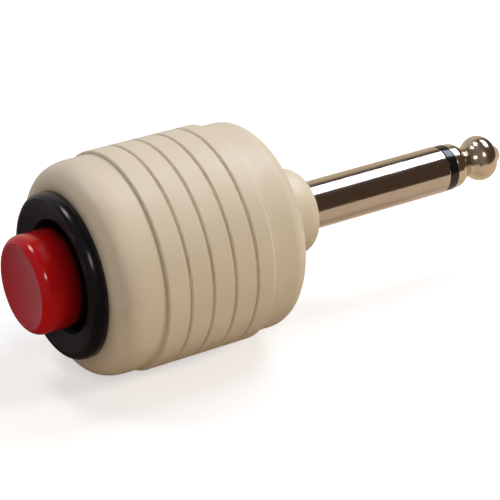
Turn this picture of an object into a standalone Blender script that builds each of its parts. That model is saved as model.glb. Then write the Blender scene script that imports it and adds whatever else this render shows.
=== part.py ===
"""Quiz buzzer: a push-button switch in a round two-piece handle that plugs in by a 6.35 mm phone plug.

Metres, +Z up. Everything is turned about the X axis: the button faces -X and the plug points along +X.
The origin is on the axis at the end face of the collar, where the plug leaves the handle.
"""

from math import asin, cos, pi, radians, sin

import bmesh
import bpy
from mathutils import Matrix, Vector

MM = 0.001
FIT_GAP = 0.1 * MM  # left between pieces that touch on the real object

# Handle
RIB_RADIUS = 14.05 * MM
RIB_COUNT = 5
RIB_PITCH = 3.15 * MM
GROOVE_RADIUS = 13.7 * MM
GROOVE_WIDTH = 0.35 * MM
FIRST_GROOVE_X = -28.1 * MM
REAR_STEP_X = -12.95 * MM
REAR_RADIUS = 13.52 * MM
SHOULDER_START_X = -9.6 * MM
COLLAR_START_X = -5.82 * MM
COLLAR_RADIUS = 5.78 * MM
COLLAR_ROUND_X = -2.5 * MM
COLLAR_END_RADIUS = 4.0 * MM
DOME_RADIUS = 13.65 * MM
DOME_FACE_X = -34.3 * MM
DOME_FACE_RADIUS = 10.55 * MM
DOME_END_X = -30.4 * MM
JOINT_X = -28.22 * MM
WALL = 1.9 * MM
PANEL_THICKNESS = 2.4 * MM
SPIGOT_RADIUS = 12.2 * MM
SPIGOT_LENGTH = 3.0 * MM
SPIGOT_WALL = 1.15 * MM
REAR_WALL_X = -9.2 * MM

# Switch
BUSH_RADIUS = 8.2 * MM
BUSH_END_X = -22.0 * MM
BEZEL_RADIUS = 10.6 * MM
BEZEL_CREST_X = -36.25 * MM
BEZEL_CREST_RADIUS = 9.8 * MM
BEZEL_MOUTH_X = -35.5 * MM
BEZEL_MOUTH_RADIUS = 7.3 * MM
BEZEL_BORE_RADIUS = 6.55 * MM
SWITCH_CAVITY_RADIUS = 7.15 * MM
CAP_RADIUS = 6.25 * MM
CAP_FRONT_X = -40.65 * MM
CAP_EDGE_RADIUS = 1.5 * MM
CAP_FACE_RADIUS = 5.45 * MM
CAP_DISH_DEPTH = 0.45 * MM
CAP_STOP_X = -30.7 * MM
CAP_STOP_RADIUS = 6.95 * MM
CAP_REAR_X = -29.7 * MM
CAP_WALL = 2.0 * MM
CAP_SOCKET_RADIUS = 4.9 * MM
BUTTON_TRAVEL = 2.0 * MM
BRIDGE_X = -28.5 * MM
BRIDGE_THICKNESS = 0.4 * MM
BRIDGE_RADIUS = 6.3 * MM
PLUNGER_PIN_RADIUS = 0.9 * MM
CONTACT_OFFSET = 5.0 * MM
CONTACT_SIDES = (("left", CONTACT_OFFSET), ("right", -CONTACT_OFFSET))
BASE_FACE_X = -25.0 * MM
BASE_REAR_X = -20.8 * MM
SPRING_SEAT_X = -22.6 * MM
SPRING_RADIUS = 2.7 * MM
SPRING_WIRE_RADIUS = 0.2 * MM
SPRING_TURNS = 5
NUT_CORNER_RADIUS = 10.8 * MM
NUT_HEIGHT = 2.5 * MM
WASHER_RADIUS = 10.2 * MM
WASHER_THICKNESS = 0.5 * MM
RIVET_RADIUS = 0.62 * MM
TERMINAL_INNER_Y = 3.1 * MM
TERMINAL_OUTER_Y = 6.6 * MM
TERMINAL_LENGTH = 3.4 * MM

# Phone plug
PLUG_RADIUS = 3.175 * MM
SLEEVE_END_X = 22.2 * MM
TIP_START_X = 23.65 * MM
TIP_END_X = 32.35 * MM
TIP_ROD_RADIUS = 1.0 * MM
FLANGE_RADIUS = 4.3 * MM
FLANGE_FRONT_X = -2.1 * MM
FLANGE_REAR_X = -3.9 * MM
SHANK_RADIUS = 3.4 * MM
SHANK_REAR_X = -9.5 * MM
NECK_RADIUS = 2.9 * MM
NECK_REAR_X = -11.5 * MM
ROD_HEAD_X = -13.6 * MM
LUG_THICKNESS = 0.4 * MM
REAR_WASHER_THICKNESS = 0.6 * MM

# Wiring
WIRE_RADIUS = 0.65 * MM
SOLDER_RADIUS = 0.8 * MM
SOLDER_FLATTENED = 0.55

HANDLE_SEGMENTS = 40
SWITCH_SEGMENTS = 32
PLUG_SEGMENTS = 24
SMALL_SEGMENTS = 20
MERGE = 1e-7

# name: (colour, roughness, metallic)
FINISHES = {
    "cream_plastic": ((0.66, 0.58, 0.46), 0.55, 0.0),
    "black_plastic": ((0.015, 0.016, 0.02), 0.3, 0.0),
    "red_plastic": ((0.55, 0.01, 0.012), 0.18, 0.0),
    "white_plastic": ((0.75, 0.75, 0.72), 0.45, 0.0),
    "phenolic": ((0.28, 0.13, 0.05), 0.6, 0.0),
    "nickel": ((0.62, 0.58, 0.53), 0.15, 1.0),
    "brass": ((0.62, 0.45, 0.18), 0.3, 1.0),
    "spring_steel": ((0.5, 0.5, 0.52), 0.3, 1.0),
    "solder": ((0.55, 0.55, 0.56), 0.35, 1.0),
    "red_wire": ((0.5, 0.02, 0.02), 0.45, 0.0),
    "black_wire": ((0.02, 0.02, 0.02), 0.45, 0.0),
}


def clear_scene():
    for obj in list(bpy.data.objects):
        bpy.data.objects.remove(obj, do_unlink=True)


def finish(name, finish_name):
    """A new Principled material for one node."""
    colour, roughness, metallic = FINISHES[finish_name]
    material = bpy.data.materials.new(name)
    material.use_nodes = True
    shader = material.node_tree.nodes["Principled BSDF"]
    shader.inputs["Base Color"].default_value = (*colour, 1.0)
    shader.inputs["Roughness"].default_value = roughness
    shader.inputs["Metallic"].default_value = metallic
    material.diffuse_color = (*colour, 1.0)
    return material


def add_object(name, bm, finish_name):
    bmesh.ops.recalc_face_normals(bm, faces=bm.faces)
    mesh = bpy.data.meshes.new(name)
    bm.to_mesh(mesh)
    bm.free()
    mesh.shade_smooth()
    mesh.set_sharp_from_angle(angle=radians(35))
    obj = bpy.data.objects.new(name, mesh)
    mesh.materials.append(finish(name, finish_name))
    bpy.context.scene.collection.objects.link(obj)
    return obj


def turned(name, outline, finish_name, segments):
    """A closed (x, radius) outline spun about the X axis."""
    bm = bmesh.new()
    verts = [bm.verts.new((x, 0.0, radius)) for x, radius in outline]
    edges = [bm.edges.new((a, b)) for a, b in zip(verts, verts[1:] + verts[:1])]
    bmesh.ops.spin(
        bm, geom=verts + edges, axis=(1, 0, 0), cent=(0, 0, 0), angle=2 * pi, steps=segments, use_merge=True
    )
    bmesh.ops.remove_doubles(bm, verts=bm.verts, dist=MERGE)
    bmesh.ops.dissolve_degenerate(bm, edges=bm.edges, dist=MERGE)
    return add_object(name, bm, finish_name)


def ring(name, x_low, x_high, inner, outer, finish_name, segments=SMALL_SEGMENTS):
    outline = [(x_low, inner), (x_low, outer), (x_high, outer), (x_high, inner)]
    return turned(name, outline, finish_name, segments)


def quarter(x0, radius0, x1, radius1, steps, power=2.0, leaves="outward"):
    """A quarter of a superellipse. It leaves its first point outward or along the axis."""
    points = []
    for i in range(steps + 1):
        angle = pi / 2 * i / steps
        rise = sin(angle) ** (2 / power)
        rest = 1 - cos(angle) ** (2 / power)
        along, across = (rest, rise) if leaves == "outward" else (rise, rest)
        points.append((x0 + (x1 - x0) * along, radius0 + (radius1 - radius0) * across))
    return points


def cut(obj, cutter):
    cutter.hide_render = True
    cutter.display_type = "WIRE"
    boolean = obj.modifiers.new(cutter.name, "BOOLEAN")
    boolean.operation = "DIFFERENCE"
    boolean.solver = "EXACT"
    boolean.object = cutter


def prism(name, outline, thickness, finish_name, bevel=0.0):
    """An outline in the local XY plane given a thickness along +Z."""
    bm = bmesh.new()
    face = bm.faces.new([bm.verts.new((x, y, 0.0)) for x, y in outline])
    pushed = bmesh.ops.extrude_face_region(bm, geom=[face])["geom"]
    top = [item for item in pushed if isinstance(item, bmesh.types.BMVert)]
    bmesh.ops.translate(bm, verts=top, vec=(0.0, 0.0, thickness))
    if bevel:
        bmesh.ops.bevel(bm, geom=bm.edges, offset=bevel, segments=1, affect="EDGES")
    return add_object(name, bm, finish_name)


# ---------------------------------------------------------------- handle


def front_housing():
    """Domed front shell: the switch panel, a short skirt and the spigot that enters the rear shell."""
    hole = BUSH_RADIUS + 1.5 * FIT_GAP
    edge = 0.15 * MM
    panel_back = DOME_FACE_X + PANEL_THICKNESS
    inner = SPIGOT_RADIUS - SPIGOT_WALL
    spigot_end = JOINT_X + SPIGOT_LENGTH
    outline = [(DOME_FACE_X, hole)]
    outline += quarter(DOME_FACE_X, DOME_FACE_RADIUS, DOME_END_X, DOME_RADIUS, 9, power=2.5)
    outline += [(JOINT_X - edge, DOME_RADIUS), (JOINT_X, DOME_RADIUS - edge)]
    outline += [(JOINT_X, SPIGOT_RADIUS), (spigot_end - edge, SPIGOT_RADIUS)]
    outline += [(spigot_end, SPIGOT_RADIUS - edge), (spigot_end, inner)]
    outline += [(panel_back, inner), (panel_back, hole)]
    return turned("front_housing", outline, "cream_plastic", HANDLE_SEGMENTS)


def rib_points():
    """The outer side of the ribbed barrel, from its mouth to the step behind the last rib."""
    lean = 0.15 * MM
    half = GROOVE_WIDTH / 2
    step = RIB_RADIUS - REAR_RADIUS
    points = []
    for i in range(RIB_COUNT):
        groove_x = FIRST_GROOVE_X + i * RIB_PITCH
        if i:
            points += [(groove_x - half - lean, RIB_RADIUS), (groove_x - half, GROOVE_RADIUS)]
        points += [(groove_x + half, GROOVE_RADIUS), (groove_x + half + lean, RIB_RADIUS)]
    points += quarter(REAR_STEP_X - step, RIB_RADIUS, REAR_STEP_X, REAR_RADIUS + step / 3, 3, leaves="along")
    return points + [(REAR_STEP_X + lean / 2, REAR_RADIUS)]


def rear_housing():
    """Ribbed barrel, rounded rear wall and the collar that holds the plug."""
    mouth_x = JOINT_X + FIT_GAP
    socket = SPIGOT_RADIUS + FIT_GAP
    socket_end = JOINT_X + SPIGOT_LENGTH + 2 * FIT_GAP
    inner = RIB_RADIUS - WALL - 0.4 * MM
    flange_bore = FLANGE_RADIUS + FIT_GAP
    outline = [(mouth_x, socket), (mouth_x, GROOVE_RADIUS - FIT_GAP)]
    outline += rib_points()
    outline += quarter(
        SHOULDER_START_X, REAR_RADIUS, COLLAR_START_X, COLLAR_RADIUS, 9, power=2.15, leaves="along"
    )
    outline += quarter(COLLAR_ROUND_X, COLLAR_RADIUS, 0.0, COLLAR_END_RADIUS, 5, leaves="along")
    outline += [(0.0, PLUG_RADIUS + FIT_GAP), (FLANGE_FRONT_X + FIT_GAP, PLUG_RADIUS + FIT_GAP)]
    outline += [(FLANGE_FRONT_X + FIT_GAP, flange_bore), (REAR_WALL_X, flange_bore)]
    outline += quarter(REAR_WALL_X, inner - 2 * MM, REAR_WALL_X - 2 * MM, inner, 3)
    outline += [(socket_end, inner), (socket_end, socket)]
    return turned("rear_housing", outline, "cream_plastic", HANDLE_SEGMENTS)


# ---------------------------------------------------------------- switch


def switch_bezel():
    """The black flange seen round the button, in one piece with the threaded bush behind it."""
    flange_back = DOME_FACE_X - FIT_GAP
    outer_x = flange_back - 0.5 * MM
    cap_shoulder = CAP_STOP_X - FIT_GAP
    mouth_taper = 1.9 * MM
    outline = [(BEZEL_MOUTH_X + mouth_taper, BEZEL_BORE_RADIUS), (BEZEL_MOUTH_X, BEZEL_MOUTH_RADIUS)]
    outline += quarter(BEZEL_CREST_X, BEZEL_CREST_RADIUS, outer_x, BEZEL_RADIUS, 7)
    outline += [(flange_back, BEZEL_RADIUS), (flange_back, BUSH_RADIUS)]
    outline += [(BUSH_END_X, BUSH_RADIUS), (BUSH_END_X, SWITCH_CAVITY_RADIUS)]
    outline += [(cap_shoulder, SWITCH_CAVITY_RADIUS), (cap_shoulder, BEZEL_BORE_RADIUS)]
    return turned("switch_bezel", outline, "black_plastic", SWITCH_SEGMENTS)


def lock_washer():
    low = DOME_FACE_X + PANEL_THICKNESS + FIT_GAP
    bore = BUSH_RADIUS + 1.5 * FIT_GAP
    return ring("lock_washer", low, low + WASHER_THICKNESS, bore, WASHER_RADIUS, "nickel", SWITCH_SEGMENTS)


def switch_nut():
    """Thin hexagonal nut that clamps the panel against the flange."""
    low = DOME_FACE_X + PANEL_THICKNESS + WASHER_THICKNESS + 2 * FIT_GAP
    corners = [(NUT_CORNER_RADIUS * cos(k * pi / 3), NUT_CORNER_RADIUS * sin(k * pi / 3)) for k in range(6)]
    nut = prism("switch_nut", corners, NUT_HEIGHT, "nickel", bevel=0.15 * MM)
    nut.matrix_world = Matrix.Translation((low, 0, 0)) @ Matrix.Rotation(pi / 2, 4, "Y")
    bore = BUSH_RADIUS + FIT_GAP
    drill_start = low - MM
    drill_end = low + NUT_HEIGHT + MM
    hole = [(drill_start, 0.0), (drill_start, bore), (drill_end, bore), (drill_end, 0.0)]
    cut(nut, turned("switch_nut_hole", hole, "nickel", SWITCH_SEGMENTS))
    return nut


def button_cap():
    """Red cap with a dished face, a rounded edge and a stop rim that rests on the bush's shoulder."""
    socket_end = CAP_FRONT_X + CAP_WALL
    edge_centre = CAP_RADIUS - CAP_EDGE_RADIUS
    edge_start = asin((CAP_FACE_RADIUS - edge_centre) / CAP_EDGE_RADIUS)
    edge_x = CAP_FRONT_X + CAP_EDGE_RADIUS * cos(edge_start)
    steps = 5
    outline = []
    for i in range(steps):
        share = i / steps
        outline.append((CAP_FRONT_X + CAP_DISH_DEPTH * (1 - share**2), CAP_FACE_RADIUS * share))
    for i in range(steps + 1):
        angle = edge_start + (pi / 2 - edge_start) * i / steps
        outline.append((edge_x - CAP_EDGE_RADIUS * cos(angle), edge_centre + CAP_EDGE_RADIUS * sin(angle)))
    outline += [(CAP_STOP_X, CAP_RADIUS), (CAP_STOP_X, CAP_STOP_RADIUS), (CAP_REAR_X, CAP_STOP_RADIUS)]
    outline += [(CAP_REAR_X, CAP_SOCKET_RADIUS), (socket_end, CAP_SOCKET_RADIUS), (socket_end, 0.0)]
    return turned("button_cap", outline, "red_plastic", SWITCH_SEGMENTS)


def plunger():
    """White stem pressed into the cap; its thin end carries the contact bridge."""
    head_front = CAP_FRONT_X + CAP_WALL + FIT_GAP
    head_rear = head_front + 3.2 * MM
    head = CAP_SOCKET_RADIUS - FIT_GAP
    stem = 2.0 * MM
    stem_rear = BRIDGE_X - FIT_GAP
    pin_rear = BRIDGE_X + 1.3 * MM
    outline = [(head_front, 0.0), (head_front, head), (head_rear, head), (head_rear, stem), (stem_rear, stem)]
    outline += [(stem_rear, PLUNGER_PIN_RADIUS), (pin_rear, PLUNGER_PIN_RADIUS), (pin_rear, 0.0)]
    return turned("plunger", outline, "white_plastic", SMALL_SEGMENTS)


def contact_bridge():
    """Brass disc that closes the circuit across both fixed contacts."""
    bore = PLUNGER_PIN_RADIUS + FIT_GAP
    high = BRIDGE_X + BRIDGE_THICKNESS
    return ring("contact_bridge", BRIDGE_X, high, bore, BRIDGE_RADIUS, "brass", SWITCH_SEGMENTS)


def bridge_clip():
    low = BRIDGE_X + BRIDGE_THICKNESS + FIT_GAP
    bore = PLUNGER_PIN_RADIUS + FIT_GAP
    return ring("bridge_clip", low, low + 0.35 * MM, bore, 2 * PLUNGER_PIN_RADIUS, "spring_steel")


def return_spring():
    """Helical compression spring between the contact bridge and the well of the base."""
    front = BRIDGE_X + BRIDGE_THICKNESS + FIT_GAP + SPRING_WIRE_RADIUS
    rear = SPRING_SEAT_X - FIT_GAP - SPRING_WIRE_RADIUS
    steps_per_turn = 12
    count = SPRING_TURNS * steps_per_turn
    data = bpy.data.curves.new("return_spring", "CURVE")
    data.dimensions = "3D"
    data.bevel_depth = SPRING_WIRE_RADIUS
    data.bevel_resolution = 1
    data.use_fill_caps = True
    spline = data.splines.new("POLY")
    spline.points.add(count)
    for i, point in enumerate(spline.points):
        angle = 2 * pi * i / steps_per_turn
        x = front + (rear - front) * i / count
        point.co = (x, SPRING_RADIUS * cos(angle), SPRING_RADIUS * sin(angle), 1.0)
    spring = bpy.data.objects.new("return_spring", data)
    data.materials.append(finish("return_spring", "spring_steel"))
    bpy.context.scene.collection.objects.link(spring)
    return spring


def switch_base():
    """Phenolic base that closes the bush, with a well for the spring and a hole for each rivet."""
    well = SPRING_RADIUS + SPRING_WIRE_RADIUS + 0.3 * MM
    spigot = SWITCH_CAVITY_RADIUS - FIT_GAP
    rim_front = BUSH_END_X + FIT_GAP
    outline = [(SPRING_SEAT_X, 0.0), (SPRING_SEAT_X, well), (BASE_FACE_X, well), (BASE_FACE_X, spigot)]
    outline += [(rim_front, spigot), (rim_front, BUSH_RADIUS - FIT_GAP)]
    outline += [(BASE_REAR_X, BUSH_RADIUS - FIT_GAP), (BASE_REAR_X, 0.0)]
    base = turned("switch_base", outline, "phenolic", SWITCH_SEGMENTS)
    bore = RIVET_RADIUS + 1.3 * FIT_GAP
    drill_start = BASE_FACE_X - MM
    drill_end = BASE_REAR_X + MM
    hole = [(drill_start, 0.0), (drill_start, bore), (drill_end, bore), (drill_end, 0.0)]
    for side, y in CONTACT_SIDES:
        cutter = turned(f"rivet_hole_{side}", hole, "phenolic", 12)
        cutter.location.y = y
        cut(base, cutter)
    return base


def fixed_contact(side, y):
    """Rivet whose front head is the contact and whose rear end holds the solder terminal."""
    head_front = BRIDGE_X + BRIDGE_THICKNESS + BUTTON_TRAVEL + FIT_GAP / 2
    head_rear = BASE_FACE_X - FIT_GAP
    head = 1.2 * MM
    head_edge = 0.2 * MM
    shank_end = BASE_REAR_X + FIT_GAP + LUG_THICKNESS + 0.35 * MM
    outline = [(head_front, 0.0), (head_front, head - head_edge), (head_front + head_edge, head)]
    outline += [(head_rear, head), (head_rear, RIVET_RADIUS), (shank_end, RIVET_RADIUS), (shank_end, 0.0)]
    rivet = turned(f"fixed_contact_{side}", outline, "brass", 16)
    rivet.location.y = y
    return rivet


def solder_tag(name, foot, hole_radius):
    """A flat brass tag with a round hole at its local origin."""
    tag = prism(name, foot, LUG_THICKNESS, "brass")
    bm = bmesh.new()
    bmesh.ops.create_cone(
        bm, cap_ends=True, segments=16, radius1=hole_radius, radius2=hole_radius, depth=4 * LUG_THICKNESS
    )
    drill = add_object(f"{name}_drill", bm, "brass")
    drill.location.z = LUG_THICKNESS / 2
    drill.parent = tag
    cut(tag, drill)
    return tag


def terminal(side, y):
    """L-shaped solder terminal: a foot under the rivet and a blade that points to the plug."""
    sign = 1 if y > 0 else -1
    half_width = 1.3 * MM
    front = BASE_REAR_X + FIT_GAP
    foot_back = front + LUG_THICKNESS
    blade_end = front + TERMINAL_LENGTH
    blade_face = TERMINAL_INNER_Y + LUG_THICKNESS
    outline = [(front, TERMINAL_OUTER_Y), (front, TERMINAL_INNER_Y), (blade_end, TERMINAL_INNER_Y)]
    outline += [(blade_end, blade_face), (foot_back, blade_face), (foot_back, TERMINAL_OUTER_Y)]
    bm = bmesh.new()
    face = bm.faces.new([bm.verts.new((px, sign * py, -half_width)) for px, py in outline])
    pushed = bmesh.ops.extrude_face_region(bm, geom=[face])["geom"]
    top = [item for item in pushed if isinstance(item, bmesh.types.BMVert)]
    bmesh.ops.translate(bm, verts=top, vec=(0.0, 0.0, 2 * half_width))
    blade = add_object(f"terminal_{side}", bm, "brass")
    bore = RIVET_RADIUS + 0.8 * FIT_GAP
    hole = [(front - MM, 0.0), (front - MM, bore), (front + MM, bore), (front + MM, 0.0)]
    drill = turned(f"terminal_{side}_drill", hole, "brass", 12)
    drill.location.y = y
    cut(blade, drill)
    return blade


# ---------------------------------------------------------------- phone plug


def plug_sleeve():
    """Sleeve contact with its flange and the shank and neck inside the handle."""
    bore = 1.8 * MM
    edge = 0.15 * MM
    outline = [(NECK_REAR_X, bore), (NECK_REAR_X, NECK_RADIUS), (SHANK_REAR_X, NECK_RADIUS)]
    outline += [(SHANK_REAR_X, SHANK_RADIUS), (FLANGE_REAR_X, SHANK_RADIUS), (FLANGE_REAR_X, FLANGE_RADIUS)]
    outline += [(FLANGE_FRONT_X, FLANGE_RADIUS), (FLANGE_FRONT_X, PLUG_RADIUS)]
    outline += [(SLEEVE_END_X - edge, PLUG_RADIUS), (SLEEVE_END_X, PLUG_RADIUS - edge), (SLEEVE_END_X, bore)]
    return turned("plug_sleeve", outline, "nickel", PLUG_SEGMENTS)


def tip_outline():
    """Shoulder cone, neck, ball and blunt cone of the tip, in front of the insulating ring."""
    shoulder = 3.0 * MM
    neck = 1.95 * MM
    neck_x = TIP_START_X + 2.75 * MM
    ball = 3.08 * MM
    ball_x = TIP_START_X + 5.5 * MM
    nose = 0.75 * MM
    outline = [(TIP_START_X, shoulder), (TIP_START_X + 1.1 * MM, shoulder)]
    outline += [(neck_x - 0.3 * MM, neck + 0.15 * MM), (neck_x, neck), (neck_x + 0.3 * MM, neck + 0.12 * MM)]
    for i in range(1, 7):
        angle = radians(150 - 20 * i)
        outline.append((ball_x + 2.1 * MM * cos(angle), ball * sin(angle) ** 0.75))
    outline += [(TIP_END_X - 0.35 * MM, nose + 0.35 * MM), (TIP_END_X, nose * 0.6), (TIP_END_X, 0.0)]
    return outline


def plug_tip():
    """Tip contact with its rod, which runs back through the sleeve to a riveted head."""
    head = 1.5 * MM
    head_front = ROD_HEAD_X + 0.6 * MM
    outline = [(ROD_HEAD_X, 0.0), (ROD_HEAD_X, head), (head_front, head), (head_front, TIP_ROD_RADIUS)]
    outline += [(TIP_START_X, TIP_ROD_RADIUS)]
    return turned("plug_tip", outline + tip_outline(), "nickel", PLUG_SEGMENTS)


def tip_insulator_ring():
    low = SLEEVE_END_X + 0.05 * MM
    high = TIP_START_X - 0.05 * MM
    inner = TIP_ROD_RADIUS + FIT_GAP
    outer = PLUG_RADIUS - 0.05 * MM
    return ring("tip_insulator_ring", low, high, inner, outer, "black_plastic", PLUG_SEGMENTS)


def insulator_tube():
    low = NECK_REAR_X + FIT_GAP
    high = SLEEVE_END_X - FIT_GAP
    return ring("insulator_tube", low, high, TIP_ROD_RADIUS + FIT_GAP, 1.7 * MM, "white_plastic")


def rear_insulator_washer():
    high = NECK_REAR_X - FIT_GAP
    low = high - REAR_WASHER_THICKNESS
    return ring("rear_insulator_washer", low, high, TIP_ROD_RADIUS + FIT_GAP, 3.6 * MM, "phenolic")


def plug_retaining_nut():
    """Slotted ring nut screwed into the collar behind the plug's flange."""
    low = REAR_WALL_X + 0.3 * MM
    high = FLANGE_REAR_X - FIT_GAP
    slot_size = (1.6 * MM, 1.0 * MM, 12 * MM)
    nut = ring("plug_retaining_nut", low, high, SHANK_RADIUS + FIT_GAP, FLANGE_RADIUS, "brass", PLUG_SEGMENTS)
    bm = bmesh.new()
    bmesh.ops.create_cube(bm, size=1.0)
    bmesh.ops.scale(bm, vec=slot_size, verts=bm.verts)
    slot = add_object("retaining_nut_slot", bm, "brass")
    slot.location.x = low
    cut(nut, slot)
    return nut


def lug_foot(pad_radius, blade_width, blade_end):
    """A round pad at the origin with a straight blade along +Y, as an outline."""
    half = blade_width / 2
    start = (pad_radius**2 - half**2) ** 0.5
    shoulder = blade_end - half
    points = [(half, shoulder), (half / 2, blade_end), (-half / 2, blade_end), (-half, shoulder)]
    arc_steps = 12
    arc_from = Vector((-half, start)).to_3d()
    arc_angle = 2 * pi - 2 * abs(Vector((0, 1, 0)).angle(arc_from))
    for i in range(arc_steps + 1):
        points.append(tuple((Matrix.Rotation(arc_angle * i / arc_steps, 3, "Z") @ arc_from).xy))
    return points


def stand_up(tag, front_x, up):
    """Turns a flat tag to face along X from front_x, with its blade towards +Z or -Z."""
    across = Matrix(((0, 0, -1), (up, 0, 0), (0, up, 0)))
    tag.matrix_world = Matrix.Translation((front_x, 0, 0)) @ across.to_4x4()
    return tag


def tip_lug():
    """Solder lug under the rod's riveted head, with its blade up."""
    foot = lug_foot(2.2 * MM, 2.2 * MM, 6.0 * MM)
    lug = solder_tag("tip_lug", foot, TIP_ROD_RADIUS + FIT_GAP)
    return stand_up(lug, NECK_REAR_X - 2 * FIT_GAP - REAR_WASHER_THICKNESS, 1)


def sleeve_lug():
    """Solder lug clamped round the sleeve's neck, with its blade down."""
    foot = lug_foot(4.4 * MM, 2.6 * MM, 7.6 * MM)
    lug = solder_tag("sleeve_lug", foot, NECK_RADIUS + FIT_GAP)
    return stand_up(lug, SHANK_REAR_X - FIT_GAP, -1)


# ---------------------------------------------------------------- wiring


def bezier(points, share):
    a, b, c, d = (Vector(p) for p in points)
    rest = 1 - share
    return a * rest**3 + b * 3 * rest**2 * share + c * 3 * rest * share**2 + d * share**3


def hook_up_wire(name, control_points, finish_name):
    steps = 18
    data = bpy.data.curves.new(name, "CURVE")
    data.dimensions = "3D"
    data.bevel_depth = WIRE_RADIUS
    data.bevel_resolution = 2
    data.use_fill_caps = True
    spline = data.splines.new("POLY")
    spline.points.add(steps)
    for i, point in enumerate(spline.points):
        point.co = (*bezier(control_points, i / steps), 1.0)
    wire = bpy.data.objects.new(name, data)
    data.materials.append(finish(name, finish_name))
    bpy.context.scene.collection.objects.link(wire)
    return wire


def solder_joint(name, place, flatten):
    """A small drop of solder, flattened against the tag that it sits on."""
    bm = bmesh.new()
    bmesh.ops.create_uvsphere(bm, u_segments=12, v_segments=8, radius=SOLDER_RADIUS)
    bmesh.ops.scale(bm, vec=flatten, verts=bm.verts)
    drop = add_object(name, bm, "solder")
    drop.location = place
    return drop


def wiring():
    """Two short insulated wires, soldered to the switch terminals and to the plug's lugs."""
    blade_end = BASE_REAR_X + FIT_GAP + TERMINAL_LENGTH
    blade_y = TERMINAL_INNER_Y + LUG_THICKNESS
    drop_gap = FIT_GAP + SOLDER_FLATTENED * SOLDER_RADIUS
    on_blade = (1.0, SOLDER_FLATTENED, 1.0)
    on_lug = (SOLDER_FLATTENED, 1.0, 1.0)
    drop_x = blade_end - 0.9 * MM
    drop_y = blade_y + drop_gap
    tip_drop = (NECK_REAR_X - 2 * FIT_GAP - REAR_WASHER_THICKNESS - LUG_THICKNESS - drop_gap, 4.6 * MM)
    sleeve_drop = (SHANK_REAR_X - FIT_GAP - LUG_THICKNESS - drop_gap, -6.2 * MM)
    solder_joint("solder_terminal_left", (drop_x, drop_y, 0.0), on_blade)
    solder_joint("solder_terminal_right", (drop_x, -drop_y, 0.0), on_blade)
    solder_joint("solder_tip_lug", (tip_drop[0], 0.0, tip_drop[1]), on_lug)
    solder_joint("solder_sleeve_lug", (sleeve_drop[0], 0.0, sleeve_drop[1]), on_lug)

    start_x = drop_x + 0.7 * MM + SOLDER_RADIUS + FIT_GAP
    start_y = blade_y + FIT_GAP + 1.1 * MM
    bow_x = start_x + 2.5 * MM
    bow_y = 8.5 * MM
    end_back = drop_gap + WIRE_RADIUS
    beyond_drop = 0.4 * MM
    for name, finish_name, side, drop, bow_z in (
        ("wire_tip", "red_wire", 1, tip_drop, 8.0 * MM),
        ("wire_sleeve", "black_wire", -1, sleeve_drop, 9.0 * MM),
    ):
        end = (drop[0] - end_back, 0.0, drop[1] + side * beyond_drop)
        controls = [(start_x, side * start_y, 0.0), (bow_x, side * bow_y, side * MM)]
        controls += [(end[0] - MM, side * 7.0 * MM, side * bow_z), end]
        hook_up_wire(name, controls, finish_name)


# ---------------------------------------------------------------- assembly


def build():
    clear_scene()
    front_housing()
    rear_housing()
    switch_bezel()
    lock_washer()
    switch_nut()
    switch_base()
    for side, y in CONTACT_SIDES:
        fixed_contact(side, y)
        terminal(side, y)
    plug_sleeve()
    plug_tip()
    tip_insulator_ring()
    insulator_tube()
    rear_insulator_washer()
    plug_retaining_nut()
    tip_lug()
    sleeve_lug()
    wiring()
    return_spring()
    button = bpy.data.objects.new("button_axis", None)
    bpy.context.scene.collection.objects.link(button)
    for piece in (button_cap(), plunger(), contact_bridge(), bridge_clip()):
        piece.parent = button


build()
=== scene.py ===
"""Looks of the quiz buzzer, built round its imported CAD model.

Metres, in the part's frame. Everything is turned about the X axis: the button faces -X, the plug points
along +X and +Z is up. The origin is on the axis at the end face of the collar, where the plug leaves it.
"""

from math import asin, cos, pi, radians, sin

import bmesh
import bpy
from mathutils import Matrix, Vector


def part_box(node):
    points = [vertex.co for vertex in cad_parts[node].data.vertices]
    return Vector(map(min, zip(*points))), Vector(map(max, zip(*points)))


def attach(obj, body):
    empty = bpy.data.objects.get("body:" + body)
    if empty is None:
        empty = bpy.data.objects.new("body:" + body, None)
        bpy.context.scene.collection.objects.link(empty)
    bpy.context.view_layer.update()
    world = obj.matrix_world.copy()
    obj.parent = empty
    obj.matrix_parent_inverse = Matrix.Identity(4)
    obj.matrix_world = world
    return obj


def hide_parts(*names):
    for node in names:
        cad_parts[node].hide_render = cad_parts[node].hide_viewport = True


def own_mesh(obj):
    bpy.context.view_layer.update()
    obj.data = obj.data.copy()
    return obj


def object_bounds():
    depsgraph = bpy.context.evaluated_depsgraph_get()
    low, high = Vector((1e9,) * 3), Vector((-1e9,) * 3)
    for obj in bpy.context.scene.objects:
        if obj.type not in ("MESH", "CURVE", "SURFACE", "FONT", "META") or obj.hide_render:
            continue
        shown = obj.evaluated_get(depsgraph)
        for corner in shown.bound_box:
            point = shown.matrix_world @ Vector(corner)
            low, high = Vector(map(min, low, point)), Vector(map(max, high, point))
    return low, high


MM = 0.001
GAP = 0.1 * MM  # between pieces that touch on the real object

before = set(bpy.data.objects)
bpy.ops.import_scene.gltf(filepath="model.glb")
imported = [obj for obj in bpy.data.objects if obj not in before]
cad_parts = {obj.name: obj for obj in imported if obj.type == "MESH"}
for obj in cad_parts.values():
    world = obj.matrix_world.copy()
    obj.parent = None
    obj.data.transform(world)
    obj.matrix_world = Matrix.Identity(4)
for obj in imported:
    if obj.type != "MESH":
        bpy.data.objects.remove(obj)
cad_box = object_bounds()


# ---------------------------------------------------------------- studio

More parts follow.
